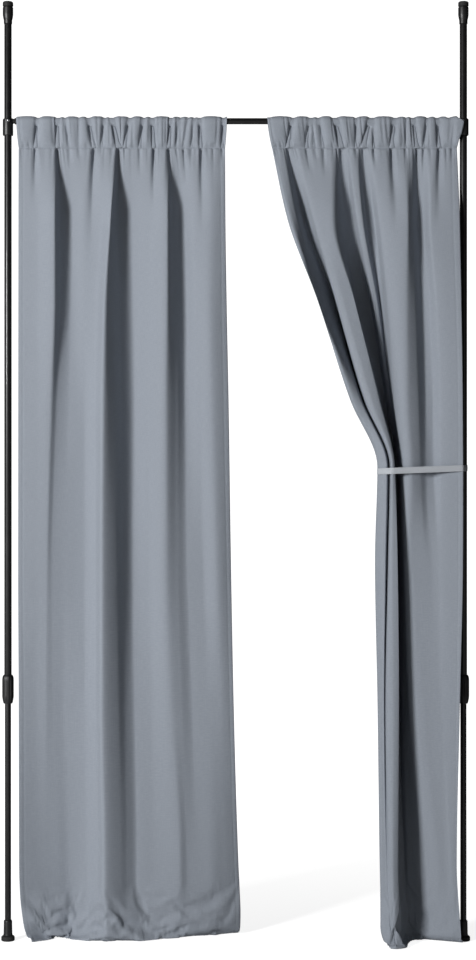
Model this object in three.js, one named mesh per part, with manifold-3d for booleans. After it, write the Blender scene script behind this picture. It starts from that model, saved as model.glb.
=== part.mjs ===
// A floor-to-ceiling curtain room divider: two telescoping poles are wedged between floor and
// ceiling, a telescoping rod hangs between them in two clamp brackets, and two rod-pocket curtain
// panels hang on the rod. The left panel hangs straight and slides; the right one is tied to its pole.
// Millimetres, +Z up. X runs from the left pole to the right one and -Y faces the room.
// The origin is the centre of the left foot's underside, on the floor.
import * as THREE from "three";
import { mergeVertices } from "three/addons/utils/BufferGeometryUtils.js";
import Module from "manifold-3d";

const wasm = await Module();
wasm.setup();

// ---------- Driving dimensions ----------

// The room and the frame's layout
const ceilingHeight = 2438;
const poleSpacing = 1183; // axis to axis
const rodBelowCeiling = 310; // ceiling to rod axis
const lockHeight = 616; // underside of the lock collar, so of the upper tube
const tieHeight = 1225; // middle of the tie-back
const centreGap = 104; // bare rod between the two headings

// Poles
const upperRadius = 9.5;
const upperWall = 0.9;
const lowerRadius = 8;
const lowerWall = 0.9;
const tubeOverlap = 637; // lower tube hidden above the lock collar

// Feet and ceiling caps
const footPadRadius = 17.5;
const footPadHeight = 13;
const footSleeveHeight = 40;
const footSleeveWall = 3.7;
const ceilingPadHeight = 12;
const capHeight = 45;
const capRadius = 13.5;
const capSkirtWall = 1;
const capRoof = 6;
const capTravelDown = 12; // the spring's spare squeeze
const springRoom = 39; // spring seat to the end of the upper tube
const springWire = 0.8;
const springTurns = 5;
const springGap = 1; // spring to the tube around it
const capSpare = 3; // tube end to the cap's roof when the spring is squeezed

// Twist locks
const collarRadius = 15;
const collarHeight = 74;
const collarLip = 2.5;
const colletHeight = 9;
const fluteCount = 12;
const fluteDepth = 0.9;

// Rod and its brackets
const rodRadius = 8;
const rodWall = 0.6;
const rodStep = 0.8; // outer tube's bore to the inner tube
const rodOverlap = 500; // inner tube hidden in the outer one
const stepInPocket = 90; // the outer tube's end, inside the right-hand pocket
const bracketRadius = 13.5;
const bracketHeight = 43;
const bracketAboveRod = 6;
const armRadius = 6.2;
const pinRadius = 4;
const pinLength = 14;
const endFlange = 4;
const endSpigot = 20;
const screwRadius = 2;
const screwHeadRadius = 4;
const screwHeadHeight = 3;
const screwTurn = 12; // degrees from the front towards the rod

// Curtains
const clothThickness = 2; // a stand-in for the fabric, seams and hems together
const pocketHeight = 81; // top of the pocket to its stitch line
const pocketDepth = 20; // half the gathered pocket's depth at the rod
const pocketWall = 2.6;
const pocketEase = 0.4; // slack of the pocket over the rod
const seamHalfDepth = 4; // half the pocket's depth at its stitch line
const seamHeight = 3;
const edgeInset = 5; // a panel's top is narrower than its heading by this at each end
const headingInset = 22; // pole axis to the start of a heading
const rightHeadingWidth = 488;
const hemClearance = 2; // floor to the lowest edge of the cloth
const bandHeight = 16;
const bandThickness = 1.2;
const bandEase = 3.5; // slack of the band round the cloth
const bandOverlap = 45; // where the band's ends lie over one another
const bandTail = 60; // pole's far side to the band's first end
const bandMargin = 7; // the band's near end stands this far outside the cloth
const patchThickness = 0.8;

// Clearances
const fit = 0.3; // between pieces that are pushed together
const slideFit = 0.15; // between pieces that slide
const hingeGap = 0.8; // between the heading and the panel that swings from it
const sides = 24; // facets round a turned piece

// ---------- Sizes that follow ----------

const rodZ = ceilingHeight - rodBelowCeiling;
const upperInner = upperRadius - upperWall;
const lowerInner = lowerRadius - lowerWall;
const lowerTubeEnd = lockHeight + tubeOverlap;
const upperStart = lockHeight + collarLip + fit + colletHeight + fit;
const upperEnd = ceilingHeight - ceilingPadHeight - capRoof - capTravelDown - capSpare;
const rodInnerRadius = rodRadius - rodWall - rodStep;
const armEnd = headingInset - endFlange - 2 * fit;
const rightHeadingStart = poleSpacing - headingInset - rightHeadingWidth;
const leftHeadingEnd = rightHeadingStart - centreGap;
const outerRodEnd = rightHeadingStart + stepInPocket;
const innerRodStart = outerRodEnd - rodOverlap;
const pocketTop = rodZ + rodRadius + pocketEase + pocketWall;
const pocketBottom = pocketTop - pocketHeight;
const clothTop = pocketBottom - hingeGap;

// ---------- Colours ----------

const blackSteel = new THREE.MeshStandardMaterial({ color: 0x1d1d1e, roughness: 0.45, metalness: 0.6 });
const blackPlastic = new THREE.MeshStandardMaterial({ color: 0x161616, roughness: 0.6 });
const blackRubber = new THREE.MeshStandardMaterial({ color: 0x111111, roughness: 0.9 });
const naturalNylon = new THREE.MeshStandardMaterial({ color: 0xd9d6cc, roughness: 0.6 });
const brightSteel = new THREE.MeshStandardMaterial({ color: 0xa9abad, roughness: 0.3, metalness: 1 });
const greyFabric = new THREE.MeshStandardMaterial({ color: 0x8a93a0, roughness: 0.95 });
const paleFabric = new THREE.MeshStandardMaterial({ color: 0x9ba2ad, roughness: 0.95 });
const darkTape = new THREE.MeshStandardMaterial({ color: 0x5d636c, roughness: 1 });

// ---------- Making solids ----------

const room_divider = new THREE.Group();

function place(name, geometry, material, x = 0) {
  const mesh = new THREE.Mesh(geometry, material);
  mesh.name = name;
  mesh.position.x = x;
  room_divider.add(mesh);
  return mesh;
}

// A solid turned about Z from its outline, a closed loop of [radius, height] points.
function turned(outline, facets = sides) {
  const points = outline.map(([r, z]) => new THREE.Vector2(r, z));
  if (THREE.ShapeUtils.isClockWise(points)) points.reverse();
  points.push(points[0].clone());
  return new THREE.LatheGeometry(points, facets).rotateX(Math.PI / 2);
}

function tube(outer, inner, from, to) {
  return turned([
    [inner, from],
    [outer, from],
    [outer, to],
    [inner, to],
  ]);
}

// The same solid lying along +X instead of +Z.
function alongX(geometry) {
  return geometry.rotateY(Math.PI / 2);
}

function toManifold(geometry) {
  const bare = geometry.clone();
  bare.deleteAttribute("normal");
  bare.deleteAttribute("uv");
  const merged = mergeVertices(bare, 1e-3);
  return new wasm.Manifold(
    new wasm.Mesh({
      numProp: 3,
      vertProperties: merged.attributes.position.array,
      triVerts: new Uint32Array(merged.index.array),
    }),
  );
}

function toGeometry(solid) {
  const mesh = solid.getMesh();
  const geometry = new THREE.BufferGeometry();
  geometry.setAttribute("position", new THREE.BufferAttribute(mesh.vertProperties, 3));
  geometry.setIndex(new THREE.BufferAttribute(mesh.triVerts, 1));
  return geometry;
}

// A closed skin round a grid of rings: rings[i][j] is a Vector3, and both ends are capped.
function skinned(rings) {
  const count = rings[0].length;
  const positions = [];
  const index = [];
  for (const ring of rings) for (const p of ring) positions.push(p.x, p.y, p.z);
  for (let i = 0; i < rings.length - 1; i++) {
    for (let j = 0; j < count; j++) {
      const a = i * count + j;
      const b = i * count + ((j + 1) % count);
      index.push(a, b, b + count, a, b + count, a + count);
    }
  }
  return { positions, index, count };
}

// Piecewise straight line through [height, value] points that go down from the top.
function along(points, z) {
  const after = Math.max(1, points.findIndex(([height]) => height <= z));
  const [z0, v0] = points[after - 1];
  const [z1, v1] = points[after];
  return THREE.MathUtils.mapLinear(THREE.MathUtils.clamp(z, z1, z0), z0, z1, v0, v1);
}

// ---------- Poles ----------

function footPad() {
  const bevel = 2.5;
  return turned([
    [0, 0],
    [footPadRadius - bevel, 0],
    [footPadRadius, bevel],
    [footPadRadius, footPadHeight - bevel],
    [footPadRadius - bevel, footPadHeight],
    [0, footPadHeight],
  ]);
}

function footSleeve() {
  const bore = lowerRadius + fit;
  const top = footPadHeight + footSleeveHeight;
  const taper = 1;
  const lead = 1.5;
  return turned([
    [bore, footPadHeight],
    [bore + footSleeveWall, footPadHeight],
    [bore + footSleeveWall - taper, top - lead],
    [bore + footSleeveWall - taper - lead / 2, top],
    [bore, top],
  ]);
}

// A nylon plug in the top of the lower tube, whose head rubs inside the upper tube.
function guideBush() {
  const headHeight = 12;
  const spigotLength = 15;
  return turned([
    [0, lowerTubeEnd - spigotLength],
    [lowerInner - fit, lowerTubeEnd - spigotLength],
    [lowerInner - fit, lowerTubeEnd],
    [upperInner - slideFit, lowerTubeEnd],
    [upperInner - slideFit, lowerTubeEnd + headHeight],
    [0, lowerTubeEnd + headHeight],
  ]);
}

// The split ring that the collar squeezes onto the lower tube.
function lockCollet() {
  const from = lockHeight + collarLip + fit;
  const bore = lowerRadius + slideFit;
  const taper = 0.8;
  return turned([
    [bore, from],
    [upperRadius + fit - taper, from],
    [upperRadius + fit, from + colletHeight],
    [bore, from + colletHeight],
  ]);
}

// The fluted hand grip round the joint of the two tubes: shoulders above, tapered skirt below.
function lockCollar() {
  const facets = fluteCount * 3;
  const cavity = upperRadius + 2 * fit;
  const bore = upperRadius + slideFit;
  const cavityTop = upperStart + fit;
  const top = lockHeight + collarHeight;
  const skirtHeight = 19;
  const shoulderHeight = 13;
  const outside = [
    [lockHeight, collarRadius - 3.5, 0],
    [lockHeight + skirtHeight / 2, collarRadius - 1.2, 1],
    [lockHeight + skirtHeight, collarRadius, 1],
    [top - shoulderHeight, collarRadius, 1],
    [top - shoulderHeight / 3, collarRadius - 1.5, 1],
    [top, collarRadius - 4, 0],
  ];
  const inside = [
    [top, bore],
    [cavityTop, bore],
    [cavityTop, cavity],
    [lockHeight + collarLip, cavity],
    [lockHeight + collarLip, lowerRadius + fit],
    [lockHeight, lowerRadius + fit],
  ];
  const ring = (z, radius, fluted) =>
    Array.from({ length: facets }, (_, j) => {
      const turn = (2 * Math.PI * j) / facets;
      const r = radius - (fluted && j % 3 === 0 ? fluteDepth : 0);
      return new THREE.Vector3(r * Math.cos(turn), r * Math.sin(turn), z);
    });
  const rings = outside.map(([z, r, fluted]) => ring(z, r, fluted));
  for (const [z, r] of inside) rings.push(ring(z, r, 0));
  rings.push(rings[0]);
  const { positions, index } = skinned(rings);
  const geometry = new THREE.BufferGeometry();
  geometry.setAttribute("position", new THREE.Float32BufferAttribute(positions, 3));
  geometry.setIndex(index);
  return geometry;
}

// The disc crimped inside the upper tube that the cap's spring stands on.
function springStop() {
  const seat = upperEnd - springRoom;
  const thickness = 8;
  return turned([
    [0, seat - thickness],
    [upperInner - slideFit, seat - thickness],
    [upperInner - slideFit, seat],
    [0, seat],
  ]);
}

class Helix extends THREE.Curve {
  constructor(radius, turns, from, to) {
    super();
    Object.assign(this, { radius, turns, from, to });
  }
  getPoint(t, target = new THREE.Vector3()) {
    const turn = 2 * Math.PI * this.turns * t;
    const z = THREE.MathUtils.lerp(this.from, this.to, t);
    return target.set(this.radius * Math.cos(turn), this.radius * Math.sin(turn), z);
  }
}

function capSpring() {
  const from = upperEnd - springRoom + fit + springWire;
  const to = ceilingHeight - ceilingPadHeight - capRoof - fit - springWire;
  const radius = upperInner - springGap - springWire;
  const section = new THREE.Shape().absarc(0, 0, springWire, 0, 2 * Math.PI);
  return new THREE.ExtrudeGeometry(section, {
    steps: springTurns * 10,
    curveSegments: 3,
    bevelEnabled: false,
    extrudePath: new Helix(radius, springTurns, from, to),
  });
}

// The sprung cap: its skirt slides on the upper tube and its roof sits on the spring.
function plungerCap() {
  const bore = upperRadius + fit;
  const top = ceilingHeight - ceilingPadHeight;
  const bottom = top - capHeight;
  const skirtHeight = 10;
  const flareHeight = 10.5;
  const neck = 1.5;
  return turned([
    [bore, bottom],
    [bore + capSkirtWall, bottom],
    [bore + capSkirtWall, bottom + skirtHeight],
    [capRadius, bottom + skirtHeight + flareHeight],
    [capRadius, top - 2 * neck],
    [capRadius - neck, top - neck],
    [capRadius - neck, top],
    [0, top],
    [0, top - capRoof],
    [bore, top - capRoof],
  ]);
}

function ceilingPad() {
  const bottom = ceilingHeight - ceilingPadHeight;
  const bevel = 1.5;
  return turned([
    [0, bottom],
    [capRadius - bevel / 2, bottom],
    [capRadius, bottom + bevel],
    [capRadius, ceilingHeight - bevel],
    [capRadius - bevel, ceilingHeight],
    [0, ceilingHeight],
  ]);
}

for (const [side, x] of [
  ["left", 0],
  ["right", poleSpacing],
]) {
  place(`${side}_foot_pad`, footPad(), blackRubber, x);
  place(`${side}_foot_sleeve`, footSleeve(), blackPlastic, x);
  place(`${side}_lower_tube`, tube(lowerRadius, lowerInner, footPadHeight, lowerTubeEnd), blackSteel, x);
  place(`${side}_guide_bush`, guideBush(), naturalNylon, x);
  place(`${side}_lock_collet`, lockCollet(), naturalNylon, x);
  place(`${side}_lock_collar`, lockCollar(), blackPlastic, x);
  place(`${side}_upper_tube`, tube(upperRadius, upperInner, upperStart, upperEnd), blackSteel, x);
  place(`${side}_spring_stop`, springStop(), blackPlastic, x);
  place(`${side}_cap_spring`, capSpring(), brightSteel, x);
  place(`${side}_plunger_cap`, plungerCap(), blackPlastic, x);
  place(`${side}_ceiling_pad`, ceilingPad(), blackRubber, x);
}

// ---------- Brackets ----------

// A clamp collar round the upper tube with an arm and a pin for the rod. It is made facing +X.
function bracket() {
  const low = rodZ + bracketAboveRod - bracketHeight;
  const high = rodZ + bracketAboveRod;
  const bevel = 1.5;
  const body = turned([
    [0, low],
    [bracketRadius, low],
    [bracketRadius, high - bevel],
    [bracketRadius - bevel, high],
    [0, high],
  ]);
  const arm = alongX(
    turned([
      [0, upperRadius],
      [armRadius, upperRadius],
      [armRadius, armEnd],
      [pinRadius, armEnd],
      [pinRadius, armEnd + pinLength],
      [0, armEnd + pinLength],
    ]),
  ).translate(0, 0, rodZ);
  const bore = turned([
    [0, low - 1],
    [upperRadius + fit, low - 1],
    [upperRadius + fit, high + 1],
    [0, high + 1],
  ]);
  const screwHole = clampScrewRound(screwRadius + fit, 0);
  const solid = toManifold(body).add(toManifold(arm)).subtract(toManifold(bore));
  return toGeometry(solid.subtract(toManifold(screwHole)));
}

// A round bar on the clamp screw's axis, from the pole's skin outwards, with or without its head.
function clampScrewRound(radius, headRadius) {
  const tip = upperRadius + fit;
  const seat = bracketRadius + fit;
  const outline = headRadius
    ? [
        [0, tip],
        [radius, tip],
        [radius, seat],
        [headRadius, seat],
        [headRadius, seat + screwHeadHeight / 2],
        [headRadius - 1.2, seat + screwHeadHeight],
        [0, seat + screwHeadHeight],
      ]
    : [
        [0, tip - 1],
        [radius, tip - 1],
        [radius, seat + screwHeadHeight],
        [0, seat + screwHeadHeight],
      ];
  const turn = THREE.MathUtils.degToRad(screwTurn - 90);
  return alongX(turned(outline, 12)).rotateZ(turn).translate(0, 0, rodZ);
}

const toMirror = new THREE.Matrix4().makeScale(-1, 1, 1);

// The right-hand copy of a piece made for the left pole, turned to face -X.
function mirrored(geometry) {
  const other = geometry.index ? geometry.toNonIndexed() : geometry.clone();
  other.applyMatrix4(toMirror);
  const p = other.attributes.position;
  for (let i = 0; i < p.count; i += 3) {
    const a = new THREE.Vector3().fromBufferAttribute(p, i + 1);
    const b = new THREE.Vector3().fromBufferAttribute(p, i + 2);
    p.setXYZ(i + 1, b.x, b.y, b.z);
    p.setXYZ(i + 2, a.x, a.y, a.z);
  }
  return other;
}

place("left_bracket", bracket(), blackPlastic);
place("right_bracket", mirrored(bracket()), blackPlastic, poleSpacing);
place("left_clamp_screw", clampScrewRound(screwRadius, screwHeadRadius), brightSteel);
place("right_clamp_screw", mirrored(clampScrewRound(screwRadius, screwHeadRadius)), brightSteel, poleSpacing);

// ---------- Rod ----------

// A flanged plug in the rod's end, bored for the bracket's pin. It is made for the left end.
function rodEnd(tubeRadius, tubeInner) {
  const start = headingInset - fit - endFlange;
  const seat = headingInset - fit;
  const bore = pinRadius + fit;
  const boreEnd = start + pinLength + 1;
  return alongX(
    turned([
      [bore, start],
      [tubeRadius + fit, start],
      [tubeRadius + fit, seat],
      [tubeInner - fit, seat],
      [tubeInner - fit, seat + endSpigot],
      [0, seat + endSpigot],
      [0, boreEnd],
      [bore, boreEnd],
    ]),
  ).translate(0, 0, rodZ);
}

function rodTube(outer, from, to) {
  return alongX(tube(outer, outer - rodWall, from, to)).translate(0, 0, rodZ);
}

// The ring in the outer tube's open end, which the inner tube slides through.
function outerBush() {
  const bore = rodInnerRadius + slideFit;
  const sleeve = rodRadius - rodWall - slideFit;
  const sleeveLength = 15;
  const rim = 3;
  return alongX(
    turned([
      [bore, outerRodEnd - sleeveLength],
      [sleeve, outerRodEnd - sleeveLength],
      [sleeve, outerRodEnd],
      [rodRadius + fit, outerRodEnd],
      [rodRadius + fit, outerRodEnd + rim],
      [bore, outerRodEnd + rim],
    ]),
  ).translate(0, 0, rodZ);
}

// The plug on the inner tube's hidden end, which keeps it straight in the outer one.
function innerBush() {
  const headLength = 8;
  const spigotLength = 12;
  return alongX(
    turned([
      [0, innerRodStart - headLength],
      [rodRadius - rodWall - slideFit, innerRodStart - headLength],
      [rodRadius - rodWall - slideFit, innerRodStart],
      [rodInnerRadius - rodWall - fit, innerRodStart],
      [rodInnerRadius - rodWall - fit, innerRodStart + spigotLength],
      [0, innerRodStart + spigotLength],
    ]),
  ).translate(0, 0, rodZ);
}

place("left_rod_end", rodEnd(rodRadius, rodRadius - rodWall), blackPlastic);
const rightRodEnd = mirrored(rodEnd(rodInnerRadius, rodInnerRadius - rodWall));
place("right_rod_end", rightRodEnd, blackPlastic, poleSpacing);
place("rod_outer_tube", rodTube(rodRadius, headingInset, outerRodEnd), blackSteel);
place("rod_inner_tube", rodTube(rodInnerRadius, innerRodStart, poleSpacing - headingInset), blackSteel);
place("rod_outer_bush", outerBush(), naturalNylon);
place("rod_inner_bush", innerBush(), naturalNylon);

// ---------- Curtain headings ----------

// A sleeve of cloth round the rod, narrowing to the stitch line below it.
function pocket(from, to) {
  const contour = (halfDepth, height, halfFoot, foot) => {
    const path = new THREE.Path();
    path.moveTo(-halfFoot, foot);
    path.lineTo(halfFoot, foot);
    path.lineTo(halfDepth, rodZ);
    path.absellipse(0, rodZ, halfDepth, height, 0, Math.PI, false);
    path.closePath();
    return path;
  };
  const crown = pocketTop - rodZ;
  const slit = seamHalfDepth - pocketWall;
  const outer = contour(pocketDepth, crown, seamHalfDepth, pocketBottom);
  const inner = contour(pocketDepth - pocketWall, crown - pocketWall, slit, pocketBottom + seamHeight);
  const shape = new THREE.Shape(outer.getPoints(8));
  shape.holes.push(new THREE.Path(inner.getPoints(8)));
  const solid = new THREE.ExtrudeGeometry(shape, { depth: to - from, bevelEnabled: false });
  return solid.rotateX(Math.PI / 2).rotateZ(Math.PI / 2).translate(from, 0, 0);
}

place("left_pocket", pocket(headingInset, leftHeadingEnd), greyFabric);
place("right_pocket", pocket(rightHeadingStart, poleSpacing - headingInset), greyFabric);

// ---------- Curtain panels ----------

// A hanging sheet between two edges. middle(u, z) and wave(u, z) give its depth and its folds,
// with u from 0 at the left edge to 1 at the right one; heights lists its rows from the top down.
function hanging({ heights, left, right, middle, wave, columns }) {
  const half = clothThickness / 2;
  const rings = heights.map((z) => {
    const line = Array.from({ length: columns + 1 }, (_, i) => {
      const u = i / columns;
      const x = THREE.MathUtils.lerp(along(left, z), along(right, z), u);
      return new THREE.Vector2(x, middle(u, z) + wave(u, z));
    });
    const offset = (i, by) => {
      const before = line[Math.max(0, i - 1)];
      const after = line[Math.min(columns, i + 1)];
      const run = after.clone().sub(before).normalize();
      return new THREE.Vector3(line[i].x - run.y * by, line[i].y + run.x * by, z);
    };
    const back = line.map((_, i) => offset(i, half));
    const front = line.map((_, i) => offset(i, -half)).reverse();
    return [...back, ...front];
  });
  const { positions, index, count } = skinned(rings);
  const last = (rings.length - 1) * count;
  for (let j = 0; j < columns; j++) {
    const mate = count - 1 - j;
    index.push(j, mate, mate - 1, j, mate - 1, j + 1);
    index.push(last + j, last + mate - 1, last + mate, last + j, last + j + 1, last + mate - 1);
  }
  const geometry = new THREE.BufferGeometry();
  geometry.setAttribute("position", new THREE.Float32BufferAttribute(positions, 3));
  geometry.setIndex(index);
  return geometry;
}

// 0 at the top of the cloth, 1 at the hem
const drop = (z) => (clothTop - z) / (clothTop - hemClearance);

function rows(...fixed) {
  const shares = [0, 0.06, 0.15, 0.3, 0.5, 0.7, 0.85, 0.94, 1];
  const heights = shares.map((share) => THREE.MathUtils.lerp(clothTop, hemClearance, share));
  return [...heights, ...fixed].sort((a, b) => b - a);
}

function leftPanel() {
  const folds = 4;
  const hemLeft = headingInset + 20; // the hem draws in at the pole
  const hemRight = leftHeadingEnd + 36; // and spreads towards the middle
  return hanging({
    heights: rows(),
    columns: 48,
    left: [
      [clothTop, headingInset + edgeInset],
      [clothTop / 3, headingInset + edgeInset],
      [hemClearance, hemLeft],
    ],
    right: [
      [clothTop, leftHeadingEnd - edgeInset],
      [clothTop / 2, leftHeadingEnd + 8],
      [hemClearance, hemRight],
    ],
    middle: (u, z) => THREE.MathUtils.lerp(-12, 62, u) * drop(z) ** 2,
    wave: (u, z) => -Math.cos(2 * Math.PI * folds * u) * Math.min(4 + 60 * drop(z), 24) * (1 - 0.25 * u),
  });
}

const rightFolds = 6;
const waistLeft = poleSpacing - 222; // the drawn-back cloth's near edge at the tie

// The right panel leaves the line of the rod within a short drop, to pass in front of its pole.
function forward(z) {
  return Math.min(1, drop(z) / 0.08);
}

function rightMiddle(u, z) {
  return forward(z) * THREE.MathUtils.lerp(-30 - 44 * drop(z), -27, u);
}

function rightWave(u, z) {
  const waist = Math.exp(-(((z - tieHeight) / 260) ** 2));
  const depth = 4 + forward(z) * (22 * drop(z) + 6) * (1 - 0.2 * waist);
  return -Math.sin(2 * Math.PI * rightFolds * u) * depth * (1 - 0.6 * u ** 3);
}

function rightPanel() {
  const pole = poleSpacing - upperRadius;
  return hanging({
    heights: rows(tieHeight + 130, tieHeight + 30, tieHeight - 30, tieHeight - 130),
    columns: 60,
    left: [
      [clothTop, rightHeadingStart + 14],
      [clothTop - 135, rightHeadingStart + 40],
      [tieHeight + 30, waistLeft],
      [tieHeight - 30, waistLeft],
      [tieHeight / 3, waistLeft + 4],
      [hemClearance, waistLeft + 20],
    ],
    right: [
      [clothTop, pole - 8],
      [clothTop - 135, pole + 4],
      [tieHeight, pole + 4],
      [tieHeight / 2, pole - 2],
      [tieHeight / 12, pole - 10],
      [hemClearance, pole - 4],
    ],
    middle: rightMiddle,
    wave: rightWave,
  });
}

place("left_panel", leftPanel(), greyFabric);
place("right_panel", rightPanel(), greyFabric);

// ---------- Tie-back ----------

// The foremost point of the drawn-back cloth within the band's height.
function bundleFront() {
  const shares = Array.from({ length: 101 }, (_, i) => i / 100);
  const depths = [-30, 30].flatMap((by) =>
    shares.map((u) => rightMiddle(u, tieHeight + by) + rightWave(u, tieHeight + by)),
  );
  return Math.min(...depths) - clothThickness;
}

// The band's centre line, level, from behind the pole round the bundle and back over its own start.
function bandLine() {
  const reach = upperRadius + fit + bandThickness / 2; // the band lies against the pole
  const left = waistLeft - bandMargin;
  const right = poleSpacing + reach;
  const front = bundleFront() - bandEase;
  const middle = rightMiddle(0, tieHeight);
  const stepOut = bandThickness + 2 * patchThickness + 1.6;
  const start = right - bandTail;
  return [
    [start, reach],
    [right - 7, reach],
    [right - 2, reach - 2.5],
    [right, reach - 8],
    [right, -30],
    [right - 12, front + 16],
    [right - 60, front + 3],
    [left + 60, front],
    [left + 12, front + 4],
    [left + 1, front + 14],
    [left, middle + 5],
    [left + 4, middle + 17],
    [left + 16, middle + 25],
    [start - 30, reach + stepOut],
    [start + bandOverlap, reach + stepOut],
  ];
}

// A level strip of a given thickness that follows a line of [x, y] points.
function strip(line, thickness, height, z) {
  const points = line.map(([x, y]) => new THREE.Vector2(x, y));
  const side = (sign) =>
    points.map((p, i) => {
      const before = points[Math.max(0, i - 1)];
      const after = points[Math.min(points.length - 1, i + 1)];
      const run = after.clone().sub(before).normalize();
      return new THREE.Vector2(p.x - (run.y * sign * thickness) / 2, p.y + (run.x * sign * thickness) / 2);
    });
  const shape = new THREE.Shape([...side(1), ...side(-1).reverse()]);
  const solid = new THREE.ExtrudeGeometry(shape, { depth: height, bevelEnabled: false });
  return solid.translate(0, 0, z - height / 2);
}

place("tieback_band", strip(bandLine(), bandThickness, bandHeight, tieHeight), paleFabric);

// The two halves of the hook-and-loop closure lie between the band's overlapping ends.
const overlapStart = bandLine()[0][0] + 4;
const overlapEnd = overlapStart + bandOverlap - 10;
const innerFace = bandLine()[0][1] + bandThickness / 2;
for (const [i, half] of ["loop", "hook"].entries()) {
  const y = innerFace + fit + patchThickness / 2 + i * (patchThickness + fit);
  const line = [
    [overlapStart, y],
    [overlapEnd, y],
  ];
  place(`tieback_${half}_patch`, strip(line, patchThickness, bandHeight - 3, tieHeight), darkTape);
}

export default room_divider;
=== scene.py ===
# A floor-to-ceiling curtain room divider: two sprung telescoping poles, a rod clamped between them,
# and two rod-pocket curtain panels, the left one hanging straight and the right one tied back.
import math

import bmesh
import bpy
import numpy as np
from mathutils import Matrix, Vector


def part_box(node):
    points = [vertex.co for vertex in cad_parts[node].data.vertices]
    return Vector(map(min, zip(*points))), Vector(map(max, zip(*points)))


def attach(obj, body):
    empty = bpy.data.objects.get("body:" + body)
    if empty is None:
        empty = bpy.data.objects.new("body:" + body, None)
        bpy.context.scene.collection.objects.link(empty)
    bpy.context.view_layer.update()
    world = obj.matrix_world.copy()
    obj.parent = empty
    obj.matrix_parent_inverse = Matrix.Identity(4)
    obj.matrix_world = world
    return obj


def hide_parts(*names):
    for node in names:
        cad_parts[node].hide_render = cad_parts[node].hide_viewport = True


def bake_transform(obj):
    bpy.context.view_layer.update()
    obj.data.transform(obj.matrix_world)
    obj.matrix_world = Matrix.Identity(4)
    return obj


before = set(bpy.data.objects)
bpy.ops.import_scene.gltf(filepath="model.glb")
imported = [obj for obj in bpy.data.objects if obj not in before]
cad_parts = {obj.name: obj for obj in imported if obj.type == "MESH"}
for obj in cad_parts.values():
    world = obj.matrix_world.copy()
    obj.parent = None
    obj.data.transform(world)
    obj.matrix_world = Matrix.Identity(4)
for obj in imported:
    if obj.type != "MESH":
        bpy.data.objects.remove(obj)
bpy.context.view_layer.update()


# ---------- The room: floor, light and camera ----------
# A plain pale floor under a white sky, lit by one broad soft lamp from the left and a weak one from
# the right. The camera stands five metres in front of the divider at chest height and looks level.

def pole_axis(side):
    low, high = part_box(f"{side}_upper_tube")
    return (low.x + high.x) / 2


left_pole = pole_axis("left")
right_pole = pole_axis("right")
mid_span = (left_pole + right_pole) / 2
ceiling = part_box("left_ceiling_pad")[1].z


def new_material(name):
    material = bpy.data.materials.new(name)
    material.use_nodes = True
    nodes = material.node_tree.nodes
    return material, nodes, material.node_tree.links, nodes["Principled BSDF"]


def place_object(name, data):
    """A new object in the scene that holds the given mesh, lamp or camera."""
    placed = bpy.data.objects.new(name, data)
    bpy.context.collection.objects.link(placed)
    return placed


def add_floor():
    half, under_feet = 12.0, 0.0005
    mesh = bpy.data.meshes.new("studio_floor")
    corners = [(-half, -half), (half, -half), (half, half), (-half, half)]
    mesh.from_pydata([(x + mid_span, y, -under_feet) for x, y in corners], [], [(0, 1, 2, 3)])
    floor = place_object("studio_floor", mesh)
    material, nodes, links, shader = new_material("studio_floor")
    shader.inputs["Base Color"].default_value = (0.8, 0.8, 0.8, 1)
    shader.inputs["Roughness"].default_value = 0.9
    shader.inputs["Emission Color"].default_value = (1, 1, 1, 1)
    split = nodes.new("ShaderNodeSeparateXYZ")
    links.new(nodes.new("ShaderNodeTexCoord").outputs["Object"], split.inputs["Vector"])
    fade = nodes.new("ShaderNodeMapRange")
    fade.inputs["From Min"].default_value = 0.1
    fade.inputs["From Max"].default_value = 2.2
    fade.inputs["To Min"].default_value = 0.87
    fade.inputs["To Max"].default_value = 1.1
    links.new(split.outputs["Y"], fade.inputs["Value"])
    path = nodes.new("ShaderNodeLightPath")
    glow = nodes.new("ShaderNodeMath")
    glow.operation = "MULTIPLY"
    links.new(path.outputs["Is Camera Ray"], glow.inputs[0])
    links.new(fade.outputs["Result"], glow.inputs[1])
    links.new(glow.outputs[0], shader.inputs["Emission Strength"])
    mesh.materials.append(material)


def add_sky(seen, given):
    """A white sky: one brightness to look at, another to light the object with."""
    world = bpy.data.worlds.new("studio_sky")
    bpy.context.scene.world = world
    world.use_nodes = True
    nodes, links = world.node_tree.nodes, world.node_tree.links
    path = nodes.new("ShaderNodeLightPath")
    strength = nodes.new("ShaderNodeMix")
    strength.inputs["A"].default_value = given
    strength.inputs["B"].default_value = seen
    links.new(path.outputs["Is Camera Ray"], strength.inputs["Factor"])
    nodes["Background"].inputs["Color"].default_value = (1, 1, 1, 1)
    links.new(strength.outputs["Result"], nodes["Background"].inputs["Strength"])


def add_lamp(name, place, target, width, height, power):
    lamp = bpy.data.lights.new(name, "AREA")
    lamp.shape = "RECTANGLE"
    lamp.size = width
    lamp.size_y = height
    lamp.energy = power
    holder = place_object(name, lamp)
    holder.location = place
    aim = Vector(target) - Vector(place)
    holder.rotation_euler = aim.to_track_quat("-Z", "Y").to_euler()


def add_camera(distance, height, long_side_angle):
    data = bpy.data.cameras.new("camera")
    data.sensor_width = 36
    data.lens = 18 / math.tan(long_side_angle / 2)
    camera = place_object("camera", data)
    camera.location = (mid_span + 0.006, -distance, height)
    camera.rotation_euler = (math.pi / 2, 0, 0)
    bpy.context.scene.camera = camera


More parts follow.
